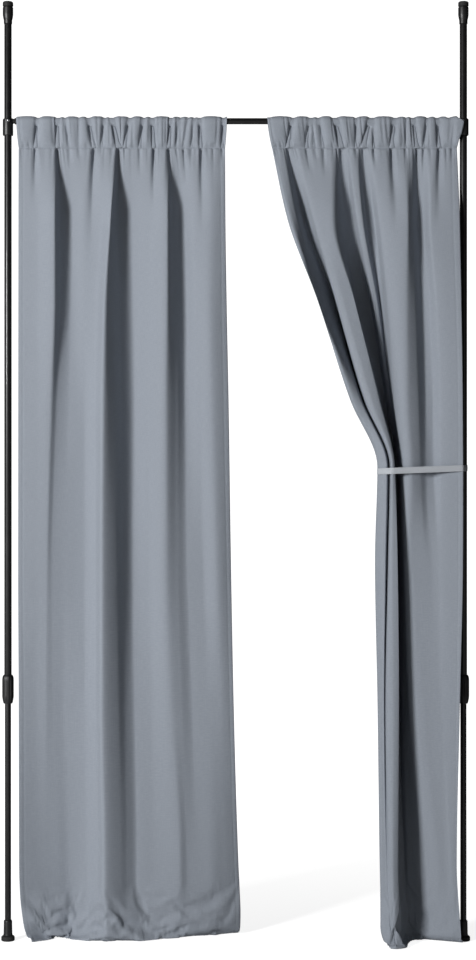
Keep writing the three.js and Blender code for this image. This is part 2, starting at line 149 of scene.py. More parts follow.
add_floor()
add_sky(seen=1.15, given=0.022)
centre = (mid_span, 0, ceiling / 2)
add_lamp("key_lamp", (mid_span - 4.5, -5.4, 2.4), centre, 1.3, 1.6, 485)
add_lamp("fill_lamp", (mid_span + 3.2, -4.2, 1.6), centre, 2.5, 2.5, 4)
camera_distance = 5.0
filled_share = 0.9776
half_frame = 0.5 * ceiling / filled_share
add_camera(camera_distance, height=1.196, long_side_angle=2 * math.atan(half_frame / camera_distance))
bpy.context.scene.view_settings.view_transform = "Standard"


# ---------- Feet: rubber pads and plastic sleeves ----------
# Each pole stands in a moulded black sleeve on a thick rubber disc that grips the floor. Both are
# turned shapes pushed onto the end of the lower tube.

def link_object(name, mesh, material, body, slot, *nodes):
    """A finished mesh as a piece of the object, riding on its body and standing for its CAD nodes."""
    piece = place_object(name, mesh)
    mesh.materials.clear()
    mesh.materials.append(material)
    if body:
        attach(piece, body)
    if nodes:
        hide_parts(*nodes)
    return piece


def smooth_by_angle(mesh, degrees=32):
    """Smooth shading with creases where faces meet at more than the given angle."""
    work = bmesh.new()
    work.from_mesh(mesh)
    for face in work.faces:
        face.smooth = True
    for edge in work.edges:
        edge.smooth = edge.calc_face_angle(math.pi) < math.radians(degrees)
    work.to_mesh(mesh)
    work.free()
    return mesh


def rounded(outline, radius, steps=4):
    """A closed outline of (r, z) points with its corners off the axis turned into small arcs."""
    result = []
    for i, point in enumerate(outline):
        here = np.array(point, float)
        before = np.array(outline[i - 1], float) - here
        after = np.array(outline[(i + 1) % len(outline)], float) - here
        reach = min(radius, 0.45 * np.linalg.norm(before), 0.45 * np.linalg.norm(after))
        if here[0] < 1e-9:
            result.append(tuple(here))
            continue
        a = here + before / np.linalg.norm(before) * reach
        b = here + after / np.linalg.norm(after) * reach
        for k in range(steps + 1):
            t = k / steps
            result.append(tuple((1 - t) ** 2 * a + 2 * t * (1 - t) * here + t * t * b))
    return result


def turned_mesh(name, outline, facets=72, shape=None):
    """A closed (r, z) outline turned round Z. shape(angle, r, z) may scale the radius, as for flutes."""
    area = sum(a[0] * b[1] - b[0] * a[1] for a, b in zip(outline, outline[1:] + outline[:1]))
    if area < 0:
        outline = outline[::-1]
    work = bmesh.new()
    rings = []
    for r, z in outline:
        if r < 1e-9:
            rings.append([work.verts.new((0, 0, z))] * facets)
            continue
        ring = []
        for j in range(facets):
            angle = 2 * math.pi * j / facets
            wide = r * (shape(angle, r, z) if shape else 1)
            ring.append(work.verts.new((wide * math.cos(angle), wide * math.sin(angle), z)))
        rings.append(ring)
    for low, high in zip(rings, rings[1:] + rings[:1]):
        for j in range(facets):
            k = (j + 1) % facets
            corners = list(dict.fromkeys([low[j], low[k], high[k], high[j]]))
            if len(corners) > 2:
                work.faces.new(corners)
    mesh = bpy.data.meshes.new(name)
    work.to_mesh(mesh)
    work.free()
    return smooth_by_angle(mesh)


def radius_of(node):
    """The radius of a round CAD piece that stands upright."""
    low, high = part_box(node)
    return (high.x - low.x) / 2


def stand_at(mesh, x):
    mesh.transform(Matrix.Translation((x, 0, 0)))
    return mesh


def new_group(name, inputs, outputs):
    """A shader node group with named sockets. inputs holds (name, kind, default) rows."""
    group = bpy.data.node_groups.new(name, "ShaderNodeTree")
    for label, kind, default in inputs:
        socket = group.interface.new_socket(label, in_out="INPUT", socket_type=kind)
        socket.default_value = default
    for label, kind in outputs:
        group.interface.new_socket(label, in_out="OUTPUT", socket_type=kind)
    entry = group.nodes.new("NodeGroupInput")
    leave = group.nodes.new("NodeGroupOutput")
    return group, group.nodes, group.links, entry, leave


def math_node(nodes, links, operation, *values, clamp=False):
    """A Math node whose inputs are sockets or plain numbers. Returns its output."""
    node = nodes.new("ShaderNodeMath")
    node.operation = operation
    node.use_clamp = clamp
    for i, value in enumerate(values):
        if isinstance(value, (int, float)):
            node.inputs[i].default_value = value
        else:
            links.new(value, node.inputs[i])
    return node.outputs[0]


def noise_node(nodes, links, vector, scale, detail, rough):
    node = nodes.new("ShaderNodeTexNoise")
    links.new(vector, node.inputs["Vector"])
    if isinstance(scale, (int, float)):
        node.inputs["Scale"].default_value = scale
    else:
        links.new(scale, node.inputs["Scale"])
    node.inputs["Detail"].default_value = detail
    node.inputs["Roughness"].default_value = rough
    return node.outputs["Fac"]


def mixed_colour(nodes, links, share, first, second):
    """The first colour where the share is 0 and the second where it is 1."""
    mix = nodes.new("ShaderNodeMix")
    mix.data_type = "RGBA"
    links.new(share, mix.inputs["Factor"])
    links.new(first, mix.inputs["A"])
    links.new(second, mix.inputs["B"])
    return mix.outputs["Result"]


def make_grain_group():
    """Fine moulded or sprayed grain, patches of handling shine, and settled dust."""
    group, nodes, links, entry, leave = new_group(
        "surface_grain",
        [
            ("Grain Size", "NodeSocketFloat", 900.0),
            ("Rough Low", "NodeSocketFloat", 0.4),
            ("Rough High", "NodeSocketFloat", 0.6),
            ("Colour", "NodeSocketColor", (0.01, 0.01, 0.01, 1)),
            ("Dust Colour", "NodeSocketColor", (0.06, 0.06, 0.06, 1)),
            ("Dust", "NodeSocketFloat", 0.3),
        ],
        [("Colour", "NodeSocketColor"), ("Roughness", "NodeSocketFloat"), ("Height", "NodeSocketFloat")],
    )
    coordinates = nodes.new("ShaderNodeTexCoord").outputs["Object"]
    grain = noise_node(nodes, links, coordinates, entry.outputs["Grain Size"], 3.0, 0.6)
    patches = noise_node(nodes, links, coordinates, 35.0, 4.0, 0.6)
    specks = noise_node(nodes, links, coordinates, 420.0, 2.0, 0.7)
    span = math_node(nodes, links, "SUBTRACT", entry.outputs["Rough High"], entry.outputs["Rough Low"])
    share = math_node(nodes, links, "MULTIPLY", span, patches)
    rough = math_node(nodes, links, "ADD", entry.outputs["Rough Low"], share)
    dusty = math_node(nodes, links, "MULTIPLY", patches, specks)
    dusty = math_node(nodes, links, "SUBTRACT", dusty, 0.2)
    dusty = math_node(nodes, links, "MULTIPLY", dusty, entry.outputs["Dust"], clamp=True)
    tinted = mixed_colour(nodes, links, dusty, entry.outputs["Colour"], entry.outputs["Dust Colour"])
    links.new(tinted, leave.inputs["Colour"])
    links.new(rough, leave.inputs["Roughness"])
    links.new(grain, leave.inputs["Height"])
    return group


surface_grain = make_grain_group()


def take_finish(nodes, links, shader, effect, bump, relief_depth):
    """Feeds a material's colour, roughness and relief from a placed node group."""
    relief = nodes.new("ShaderNodeBump")
    relief.inputs["Strength"].default_value = bump
    relief.inputs["Distance"].default_value = relief_depth
    links.new(effect.outputs["Height"], relief.inputs["Height"])
    links.new(relief.outputs["Normal"], shader.inputs["Normal"])
    links.new(effect.outputs["Colour"], shader.inputs["Base Color"])
    links.new(effect.outputs["Roughness"], shader.inputs["Roughness"])


def grained(name, colour, rough, grain_size, bump, metallic=0.0, dust=0.4, coat=0.0):
    """A hard finish made of the grain group: sprayed steel, moulded plastic or rubber."""
    material, nodes, links, shader = new_material(name)
    grain = nodes.new("ShaderNodeGroup")
    grain.node_tree = surface_grain
    grain.inputs["Grain Size"].default_value = grain_size
    grain.inputs["Rough Low"].default_value = rough[0]
    grain.inputs["Rough High"].default_value = rough[1]
    grain.inputs["Colour"].default_value = (*colour, 1)
    grain.inputs["Dust Colour"].default_value = (*(min(1, 4 * c + 0.03) for c in colour), 1)
    grain.inputs["Dust"].default_value = dust
    take_finish(nodes, links, shader, grain, bump, 0.0002)
    shader.inputs["Metallic"].default_value = metallic
    shader.inputs["Coat Weight"].default_value = coat
    return material


rubber = grained("black_rubber", (0.011, 0.011, 0.011), (0.65, 0.9), 700, 0.5, dust=0.9)
plastic = grained("black_plastic", (0.010, 0.010, 0.0105), (0.34, 0.5), 1500, 0.35, dust=0.25)
nylon = grained("natural_nylon", (0.66, 0.63, 0.55), (0.35, 0.5), 600, 0.1, dust=0.2)


def add_foot(side, x):
    low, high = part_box(f"{side}_foot_pad")
    radius = (high.x - low.x) / 2
    pad = [(0, low.z), (radius - 0.001, low.z), (radius, low.z + 0.0012)]
    pad += [(radius, high.z - 0.003), (radius - 0.003, high.z), (0, high.z)]
    mesh = stand_at(turned_mesh(f"{side}_foot_disc", rounded(pad, 0.0022)), x)
    link_object(f"{side}_foot_disc", mesh, rubber, f"{side}_stand", "black_rubber", f"{side}_foot_pad")
    low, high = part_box(f"{side}_foot_sleeve")
    wide = (high.x - low.x) / 2
    bore = radius_of(f"{side}_lower_tube") + 0.0001
    rim = 0.0035
    sleeve = [
        (bore, low.z),
        (wide, low.z),
        (wide, low.z + rim),
        (wide - 0.0006, low.z + rim + 0.0008),
        (wide - 0.0012, high.z - 0.0022),
        (wide - 0.0022, high.z),
        (bore, high.z),
    ]
    mesh = stand_at(turned_mesh(f"{side}_foot_ferrule", rounded(sleeve, 0.0007)), x)
    link_object(
        f"{side}_foot_ferrule", mesh, plastic, f"{side}_stand", "black_plastic", f"{side}_foot_sleeve"
    )


poles = (("left", left_pole), ("right", right_pole))
for side, x in poles:
    add_foot(side, x)


# ---------- Lower tubes ----------
# The thinner steel tube of each pole, sprayed satin black. It slides in the upper tube on a nylon
# plug at its hidden end.

steel = grained("black_steel", (0.011, 0.011, 0.0115), (0.3, 0.42), 1100, 0.22, metallic=0.2, coat=0.15)


def tube_mesh(name, node, along="z", wall=0.0009):
    """A tube with softly broken edges that fills a CAD tube's box."""
    low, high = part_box(node)
    if along == "z":
        radius, start, end = (high.x - low.x) / 2, low.z, high.z
    else:
        radius, start, end = (high.z - low.z) / 2, low.x, high.x
    outline = [(radius - wall, start), (radius, start), (radius, end), (radius - wall, end)]
    mesh = turned_mesh(name, rounded(outline, 0.0003, 2))
    if along == "x":
        mesh.transform(Matrix.Rotation(math.pi / 2, 4, "Y"))
        mesh.transform(Matrix.Translation((0, (low.y + high.y) / 2, (low.z + high.z) / 2)))
    else:
        mesh.transform(Matrix.Translation(((low.x + high.x) / 2, (low.y + high.y) / 2, 0)))
    return mesh


def repaint(node, material):
    """A carried-over CAD piece gets its finish."""
    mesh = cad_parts[node].data
    mesh.materials.clear()
    mesh.materials.append(material)


for side in ("left", "right"):
    mesh = tube_mesh(f"{side}_inner_pole", f"{side}_lower_tube")
    link_object(f"{side}_inner_pole", mesh, steel, f"{side}_stand", "black_steel", f"{side}_lower_tube")
    repaint(f"{side}_guide_bush", nylon)


# ---------- Twist locks ----------
# A fluted black grip at the foot of each upper tube. Turning it squeezes a split nylon ring onto
# the lower tube. Its shoulders are rounded and its flutes end in scallops above a tapered skirt.

def add_lock(side, x):
    low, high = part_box(f"{side}_lock_collar")
    wide = 0.015
    bore_top = radius_of(f"{side}_upper_tube") + 0.0001
    bore_foot = radius_of(f"{side}_lower_tube") + 0.0003
    skirt, shoulder = 0.019, 0.013
    outline = [
        (bore_foot, low.z),
        (wide - 0.0035, low.z),
        (wide - 0.0024, low.z + 0.004),
        (wide - 0.0012, low.z + skirt * 0.5),
        (wide - 0.0003, low.z + skirt * 0.8),
        (wide, low.z + skirt),
        (wide, (low.z + high.z) / 2),
        (wide, high.z - shoulder),
        (wide - 0.0004, high.z - shoulder * 0.6),
        (wide - 0.0015, high.z - shoulder * 0.25),
        (wide - 0.004, high.z),
        (bore_top, high.z),
        (bore_top, low.z + 0.012),
        (bore_top + 0.0006, low.z + 0.0119),
        (bore_top + 0.0006, low.z + 0.0025),
        (bore_foot, low.z + 0.0024),
    ]
    flutes = 12

    def fluted(angle, r, z):
        if r < bore_top + 0.002:
            return 1
        up = (z - low.z - 0.003) / skirt
        down = (high.z - shoulder * 0.3 - z) / shoulder
        reach = max(0.0, min(1.0, up)) ** 0.5 * max(0.0, min(1.0, down)) ** 0.5
        groove = max(0.0, math.cos(flutes * angle)) ** 1.5
        return 1 - 0.075 * groove * reach

    fine = []
    for (r0, z0), (r1, z1) in zip(outline, outline[1:] + outline[:1]):
        steps = max(1, int(abs(z1 - z0) / 0.002)) if min(r0, r1) > bore_top + 0.002 else 1
        fine += [(r0 + (r1 - r0) * k / steps, z0 + (z1 - z0) * k / steps) for k in range(steps)]
    mesh = stand_at(turned_mesh(f"{side}_twist_grip", fine, 144, fluted), x)
    link_object(
        f"{side}_twist_grip", mesh, plastic, f"{side}_lock", "black_plastic", f"{side}_lock_collar"
    )
    repaint(f"{side}_lock_collet", nylon)


for side, x in poles:
    add_lock(side, x)


# ---------- Upper tubes, spring stops and springs ----------
# The thicker steel tube, sprayed like the lower one. A disc crimped inside its top end carries the
# compression spring that wedges the pole against the ceiling.

spring_steel = grained("bright_steel", (0.42, 0.42, 0.43), (0.25, 0.4), 500, 0.1, metallic=1.0, dust=0.1)


def add_cap_spring(side, x):
    low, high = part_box(f"{side}_cap_spring")
    wire, turns, sides, steps = 0.0008, 5, 12, 180
    coil = (high.x - low.x) / 2 - wire
    first, last = low.z + wire, high.z - wire
    verts, faces = [], []
    for k in range(steps + 1):
        angle = 2 * math.pi * turns * k / steps
        out = Vector((math.cos(angle), math.sin(angle), 0))
        centre = Vector((x, 0, first + (last - first) * k / steps)) + coil * out
        for j in range(sides):
            turn = 2 * math.pi * j / sides
            verts.append(centre + wire * (math.cos(turn) * out + math.sin(turn) * Vector((0, 0, 1))))
    for k in range(steps):
        for j in range(sides):
            i, n = k * sides + j, k * sides + (j + 1) % sides
            faces.append((i, i + sides, n + sides, n))
    faces.append(tuple(range(sides)))
    faces.append(tuple(steps * sides + j for j in reversed(range(sides))))
    mesh = bpy.data.meshes.new(f"{side}_coil_spring")
    mesh.from_pydata(verts, [], faces)
    smooth_by_angle(mesh, 40)
    spring = link_object(
        f"{side}_coil_spring", mesh, spring_steel, None, "bright_steel", f"{side}_cap_spring"
    )
    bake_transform(spring)


for side, x in poles:
    mesh = tube_mesh(f"{side}_outer_pole", f"{side}_upper_tube")
    link_object(f"{side}_outer_pole", mesh, steel, f"{side}_mast", "black_steel", f"{side}_upper_tube")
    repaint(f"{side}_spring_stop", plastic)
    add_cap_spring(side, x)


# ---------- Ceiling caps and pads ----------
# A sprung plastic cap slides on the end of each upper tube. A rubber pad sits on it, over a shallow
# groove, and presses on the ceiling.

def add_cap(side, x):
    low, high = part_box(f"{side}_plunger_cap")
    wide = (high.x - low.x) / 2
    bore = radius_of(f"{side}_upper_tube") + 0.0003
    skirt = bore + 0.001
    outline = [
        (bore, low.z),
        (skirt, low.z),
        (skirt, low.z + 0.009),
        (skirt + 0.0012, low.z + 0.0135),
        (wide - 0.0006, low.z + 0.019),
        (wide, low.z + 0.0225),
        (wide, high.z - 0.003),
        (wide - 0.0018, high.z - 0.0022),
        (wide - 0.0018, high.z),
        (0, high.z),
        (0, high.z - 0.006),
        (bore, high.z - 0.006),
    ]
    mesh = stand_at(turned_mesh(f"{side}_sprung_cap", rounded(outline, 0.0008)), x)
    body = f"{side}_cap"
    link_object(f"{side}_sprung_cap", mesh, plastic, body, "black_plastic", f"{side}_plunger_cap")
    low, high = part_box(f"{side}_ceiling_pad")
    outline = [
        (0, low.z),
        (wide - 0.0008, low.z),
        (wide + 0.0001, low.z + 0.001),
        (wide, high.z - 0.0022),
        (wide - 0.0018, high.z),
        (0, high.z),
    ]
    mesh = stand_at(turned_mesh(f"{side}_top_pad", rounded(outline, 0.0008)), x)
    link_object(f"{side}_top_pad", mesh, rubber, body, "black_rubber", f"{side}_ceiling_pad")


for side, x in poles:
    add_cap(side, x)


# ---------- Brackets and clamp screws ----------
# A moulded clamp collar slides on each upper tube and holds the rod's end on a pin. A domed socket
# screw at the front locks it at its height.

rod_low, rod_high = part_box("rod_outer_tube")
rod_z = (rod_low.z + rod_high.z) / 2
rod_radius = (rod_high.z - rod_low.z) / 2


def finished_mesh(holder):
    """A copy of an object's mesh with the work of its modifiers made permanent."""
    bpy.context.view_layer.update()
    return bpy.data.meshes.new_from_object(holder.evaluated_get(bpy.context.evaluated_depsgraph_get()))


def combine(first, second, operation):
    """Joins or cuts one mesh with another, exactly."""
    holder = place_object("holder", first)
    tool = place_object("tool", second)
    cut = holder.modifiers.new("combine", "BOOLEAN")
    cut.operation = operation
    cut.solver = "EXACT"
    cut.object = tool
    made = finished_mesh(holder)
    bpy.data.objects.remove(holder)
    bpy.data.objects.remove(tool)
    return made


def add_bracket(side, x, facing):
    low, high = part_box(f"{side}_bracket")
    radius = (high.y - low.y) / 2
    bore = radius_of(f"{side}_upper_tube") + 0.0002
    top, foot = high.z, low.z
    collar = [(bore, foot), (radius, foot), (radius, top - 0.002), (radius - 0.002, top), (bore, top)]
    body = turned_mesh("collar", rounded(collar, 0.0009), 96)
    arm_end = 0.0171
    arm = [
        (0, bore + 0.0005),
        (0.0085, bore + 0.0005),
        (0.0068, radius - 0.0012),
        (0.0063, radius + 0.0006),
        (0.0062, arm_end),
        (0.004, arm_end + 0.0001),
        (0.004, arm_end + 0.014),
        (0, arm_end + 0.014),
    ]
    limb = turned_mesh("arm", rounded(arm, 0.0005), 48)
    limb.transform(Matrix.Rotation(math.pi / 2, 4, "Y"))
    limb.transform(Matrix.Translation((0, 0, rod_z)))
    mesh = combine(body, limb, "UNION")
    if facing < 0:
        mesh.transform(Matrix.Rotation(math.pi, 4, "Z"))
    mesh = stand_at(smooth_by_angle(mesh, 30), x)
    body_name = "rod_outer" if side == "left" else "rod_inner"
    link_object(f"{side}_clamp_collar", mesh, plastic, body_name, "black_plastic", f"{side}_bracket")


def add_clamp_screw(side, x, facing):
    seat, head, tall = 0.0137, 0.004, 0.003
    outline = [
        (0, seat - 0.0035),
        (0.002, seat - 0.0035),
        (0.002, seat),
        (head, seat),
        (head, seat + tall * 0.35),
        (head * 0.9, seat + tall * 0.72),
        (head * 0.55, seat + tall * 0.97),
        (0, seat + tall),
    ]
    mesh = turned_mesh("screw", rounded(outline, 0.0004), 48)
    key, deep, past_head = 0.0016, seat + 0.001, 0.03
    socket = turned_mesh("socket", [(0, deep), (key, deep), (key, past_head), (0, past_head)], 6)
    mesh = combine(mesh, socket, "DIFFERENCE")
    mesh.transform(Matrix.Rotation(math.pi / 2, 4, "Y"))
    mesh.transform(Matrix.Rotation(math.radians(-90 + 12 * facing), 4, "Z"))
    mesh.transform(Matrix.Translation((x, 0, rod_z)))
    smooth_by_angle(mesh, 30)
    link_object(
        f"{side}_socket_screw", mesh, spring_steel, f"{side}_screw", "bright_steel", f"{side}_clamp_screw"
    )


for side, x, facing in (("left", left_pole, 1), ("right", right_pole, -1)):
    add_bracket(side, x, facing)
    add_clamp_screw(side, x, facing)


# ---------- The rod ----------
# Two thin steel tubes, one inside the other, sprayed black like the poles. Flanged plastic plugs
# close their outer ends and nylon rings guide one tube in the other.

mesh = tube_mesh("outer_rod", "rod_outer_tube", "x", 0.0006)
link_object("outer_rod", mesh, steel, "rod_outer", "black_steel", "rod_outer_tube")
mesh = tube_mesh("inner_rod", "rod_inner_tube", "x", 0.0006)
link_object("inner_rod", mesh, steel, "rod_inner", "black_steel", "rod_inner_tube")
for node in ("left_rod_end", "right_rod_end"):
    repaint(node, plastic)
for node in ("rod_outer_bush", "rod_inner_bush"):
    repaint(node, nylon)


# ---------- Curtain cloth ----------
# Matt polyester in a plain weave with slightly uneven threads, 0.69 m wide when finished. The top is
# turned over and stitched into a pocket for the rod, and the sides have narrow stitched hems.

cloth_width = 0.686
cloth_thickness = 0.0007
pocket_rows = 45
stitch_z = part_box("left_pocket")[0].z
bracket_front = -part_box("right_bracket")[0].y
mm = 0.001


def smooth_through(at, values, where):
    """Values on the smooth curve through points (at, values), without overshoot between them."""
    at = np.asarray(at, float)
    values = np.asarray(values, float)
    step = np.diff(at)
    slope = np.diff(values) / step
    tangent = np.zeros_like(values)
    tangent[0], tangent[-1] = slope[0], slope[-1]
    same = slope[:-1] * slope[1:] > 0
    left_part = (2 * step[1:] + step[:-1]) / np.where(same, slope[:-1], 1)
    right_part = (step[1:] + 2 * step[:-1]) / np.where(same, slope[1:], 1)
    weight = 3 * (step[:-1] + step[1:])
    tangent[1:-1] = np.where(same, weight / np.where(same, left_part + right_part, 1), 0)
    where = np.clip(where, at[0], at[-1])
    i = np.clip(np.searchsorted(at, where, side="right") - 1, 0, len(step) - 1)
    h = step[i]
    t = (where - at[i]) / h
    return (
        (2 * t**3 - 3 * t**2 + 1) * values[i]
        + (t**3 - 2 * t**2 + t) * h * tangent[i]
        + (3 * t**2 - 2 * t**3) * values[i + 1]
        + (t**3 - t**2) * h * tangent[i + 1]
    )


def running_length(steps):
    """The distance along a line at each of its points, from the lengths of its steps."""
    return np.concatenate([[0], np.cumsum(steps)])


def loft(guides, heights, pole, across, z_rows):
    """The sheet through guide lines that run down the cloth from its first edge to its last.

    Each guide is (x at each height from the pole, y at each height), in millimetres. Returns x and y
    in metres, with one row for each z and one column for each share of the width in across."""
    down = np.asarray(heights)[::-1]
    gx = np.array([smooth_through(down, g[0][::-1], z_rows) for g in guides]) * mm + pole
    gy = np.array([smooth_through(down, g[1][::-1], z_rows) for g in guides]) * mm
    step = np.hypot(np.diff(gx, axis=0), np.diff(gy, axis=0)).mean(1)
    shares = running_length(step) / step.sum()
    x = np.array([smooth_through(shares, gx[:, k], across) for k in range(len(z_rows))])
    y = np.array([smooth_through(shares, gy[:, k], across) for k in range(len(z_rows))])
    return x, y


def soft_noise(shape, grain, seed):
    """Smooth noise between about -1 and 1 over a grid. grain is its size in rows and columns."""
    field = np.random.default_rng(seed).standard_normal(shape)
    for axis, size in enumerate(grain):
        reach = np.arange(-3 * size, 3 * size + 1)
        kernel = np.exp(-0.5 * (reach / size) ** 2)
        kernel /= np.sqrt((kernel**2).sum())
        pad = [(0, 0), (0, 0)]
        pad[axis] = (len(reach) // 2, len(reach) // 2)
        field = np.pad(field, pad, mode="wrap")
        field = np.apply_along_axis(lambda line: np.convolve(line, kernel, mode="valid"), axis, field)
    return field / 2.2


def valley(distance, width):
    """1 in the bottom of a pleat and 0 beside it, with its left wall steeper than its right one."""
    side = np.where(distance < 0, 0.8 * width, 1.35 * width)
    return np.exp(-np.abs(distance / side) ** 1.7)


def pleat_depth(x, pleats, pole, level):
    """How far the pocket is gathered in, from its stitch line (level 0) to the rod's crest (1)."""
    depth = np.zeros_like(x)
    for at, lean, deep, width, _, _ in pleats:
        centre = pole + (at + lean * level) * mm
        depth = np.maximum(depth, 1.15 * deep * mm * valley(x - centre, 1.75 * width * mm))
    return depth


def puff(x, pleats, pole, level):
    """0 in each pleat and up to 1 between two of them."""
    stops = sorted(pole + (row[0] + row[1] * level) * mm for row in pleats)
    stops = np.array([stops[0] - 0.06, *stops, stops[-1] + 0.06])
    i = np.clip(np.searchsorted(stops, x, side="right") - 1, 0, len(stops) - 2)
    t = np.clip((x - stops[i]) / (stops[i + 1] - stops[i]), 0, 1)
    return np.sin(math.pi * t) ** 0.6 * np.clip((stops[i + 1] - stops[i]) / 0.04, 0.3, 1)


def puckers(x, seed, count, deepest):
    """Small random creases along a seam: their depth at each x."""
    rng = np.random.default_rng(seed)
    depth = np.zeros_like(x)
    for at in rng.uniform(x.min(), x.max(), count):
        deep = rng.uniform(0.3, 1) * deepest
        depth = np.maximum(depth, deep * valley(x - at, rng.uniform(0.0014, 0.003)))
    return depth


def pocket_grid(x_stitch, edges, pleats, pole, flap):
    """The pocket from its back stitch line over the rod to its front one, as a grid of points."""
    crest = 0.2
    share = (x_stitch - x_stitch[0]) / (x_stitch[-1] - x_stitch[0])
    x_top = edges[0] + (edges[1] - edges[0]) * share
    wrap = rod_radius + 0.0016
    crumple = soft_noise((pocket_rows, len(share)), (2.2, 5), 11) * 0.0007
    rows = []
    for k in range(pocket_rows):
        q = 2 * k / (pocket_rows - 1) - 1
        way, side = abs(q), (1 if q < 0 else -1)
        turn = min(1.0, way / crest) * math.pi / 2
        fall = max(0.0, way - crest) / (1 - crest)
        level = 1 - way
        x = x_stitch * way**1.5 + x_top * (1 - way**1.5)
        gather = float(smooth_through([0, 0.12, 0.3, 0.6, 0.88, 1], [0.5, 0.9, 1.4, 1.4, 1.1, 0.2], way))
        swell = float(smooth_through([0, 0.2, 0.5, 0.85, 1], [0.003, 0.005, 0.008, 0.006, 0.0006], way))
        out = swell * puff(x, pleats, pole, level) + crumple[k] * (0.3 + 0.7 * math.sin(math.pi * way))
        inward = gather * pleat_depth(x, pleats, pole, level)
        drift = 0.010 * math.sin(5 * way)
        inward += puckers(x + drift, 21, 42, 0.0045) * math.sin(math.pi * way) ** 0.7
        inward += puckers(x, 22, 60, 0.0036) * math.exp(-(((way - 0.93) / 0.09) ** 2))
        room = wrap - rod_radius - 0.0008 if fall < 0.15 else wrap * (1 - fall) + 0.003
        out = np.maximum(out - inward, -max(room, 0.001) * (0.9 if fall < 0.15 else 1))
        base = wrap * math.sin(turn) if fall == 0 else wrap + (0.0014 - wrap) * fall
        height = rod_z + wrap * math.cos(turn) if fall == 0 else rod_z + (stitch_z - rod_z) * fall
        y = side * (base + out * math.sin(turn))
        if flap and q > 0:
            near = np.clip((share - 0.9) / 0.1, 0, 1)
            reach = float(smooth_through([0, 0.14, 0.22, 0.5, 0.8, 1], [0, 0.3, 1, 0.75, 0.25, 0], way))
            x = x + flap * reach * near**1.5
            push = np.clip((x - (pole - 0.05)) / 0.03, 0, 1) * min(1.0, way / 0.14) * (1 - way**6)
            y = np.minimum(y, y * (1 - push) - (bracket_front + 0.005) * push)
        rows.append(np.stack([x, y, height + out * math.cos(turn)], -1))
    return np.array(rows)


def even_columns(guides, heights, pole, pleats, count):
    """Shares of the width that stand evenly along the folded cloth, so that tight folds get more."""
    fine = np.linspace(0, 1, 4000)
    rows = np.array([stitch_z, 1.9, 1.5, 1.0, 0.5, 0.1])
    x, y = loft(guides, heights, pole, fine, rows)
    y[0] = 1.4 * pleat_depth(x[0], pleats, pole, 0)
    y[1] += 0.8 * pleat_depth(x[0], pleats, pole, 0)
    along = np.hypot(np.diff(x, axis=1), np.diff(y, axis=1)).mean(0)
    along = running_length(along)
    return np.interp(np.linspace(0, along[-1], count), along, fine)


def fullness(x, y, width, most):
    """How much deeper each row's folds must be for the row to hold the cloth's whole width."""
    dx = np.diff(x, axis=1)
    dy = np.diff(y, axis=1)
    low = np.ones(len(x))
    high = np.full(len(x), float(most))
    for _ in range(30):
        middle = (low + high) / 2
        short = np.hypot(dx, dy * middle[:, None]).sum(1) < width
        low = np.where(short, middle, low)
        high = np.where(short, high, middle)
    return np.convolve(np.pad(low, 12, mode="edge"), np.hanning(27)[1:-1] / 13, mode="valid")


def panel_grid(guides, heights, pole, across, pleats, z_rows, most):
    """The hanging part of a curtain, from the stitch line down, as a grid of points."""
    x, y = loft(guides, heights, pole, across, z_rows)
    mean = y.mean(1, keepdims=True)
    below = stitch_z - z_rows
    near_hem = np.clip((0.9 - z_rows) / 0.7, 0, 1)
    deeper = fullness(x, y, cloth_width * 0.99, most)
    deeper += (np.minimum(deeper, 1.0) - deeper) * near_hem
    open_up = 0.12 + 0.88 * np.clip(below / 0.15, 0, 1) ** 0.8
    y = mean + (y - mean) * (deeper * open_up)[:, None]
    for at, _, _, width, deep, reach in pleats:
        share = np.interp(pole + at * mm, x[0], across)
        centre = np.array([np.interp(share, across, row) for row in x])
        fade = np.clip(1 - below / (reach * mm), 0, 1) ** 1.3 * np.clip(below / 0.005 + 0.2, 0, 1)
        wide = 1.35 * width * mm * (1 + below / 0.06)
        y += (1.25 * deep + 2) * mm * fade[:, None] * valley(x - centre[:, None], wide[:, None])
    for seed, reach in ((22, 0.014), (23, 0.035)):
        fade = np.exp(-below / reach) - np.exp(-below / 0.003)
        y += puckers(x[0], seed, 48, 0.0040)[None, :] * fade[:, None]
    y += 0.0028 * np.exp(-((below / 0.0022) ** 2))[:, None]
    return np.stack([x, y, np.broadcast_to(z_rows[:, None], x.shape)], -1)


def panel_heights(foot):
    """Rows that stand close together under the stitch line and near the floor."""
    near_stitch, middle, near_foot = 46, 90, 60
    top = stitch_z - np.linspace(0, 1, near_stitch) ** 1.25 * 0.2
    low = np.linspace(0.42, foot, near_foot)
    return np.concatenate([top, np.linspace(top[-1], low[0], middle + 2)[1:-1], low])


def grid_mesh(name, points, width=cloth_width):
    """A sheet from a grid of points, with a UV map in metres of flat cloth."""
    rows, columns = points.shape[:2]
    index = np.arange(rows * columns).reshape(rows, columns)
    corners = [index[:-1, :-1], index[1:, :-1], index[1:, 1:], index[:-1, 1:]]
    faces = np.stack([c.ravel() for c in corners], 1)
    mesh = bpy.data.meshes.new(name)
    mesh.from_pydata(points.reshape(-1, 3).tolist(), [], faces.tolist())
    wide = np.linalg.norm(np.diff(points, axis=1), axis=2).mean(0)
    long = np.linalg.norm(np.diff(points, axis=0), axis=2).mean(1)
    u = running_length(wide) / wide.sum() * width
    v = running_length(long)
    flat = np.stack(np.broadcast_arrays(u[None, :], v[::-1][:, None]), -1).reshape(-1, 2)
    layer = mesh.uv_layers.new(name="cloth")
    loops = np.empty(len(mesh.loops), int)
    mesh.loops.foreach_get("vertex_index", loops)
    layer.data.foreach_set("uv", flat[loops].astype(np.float32).ravel())
    mesh.shade_smooth()
    return mesh


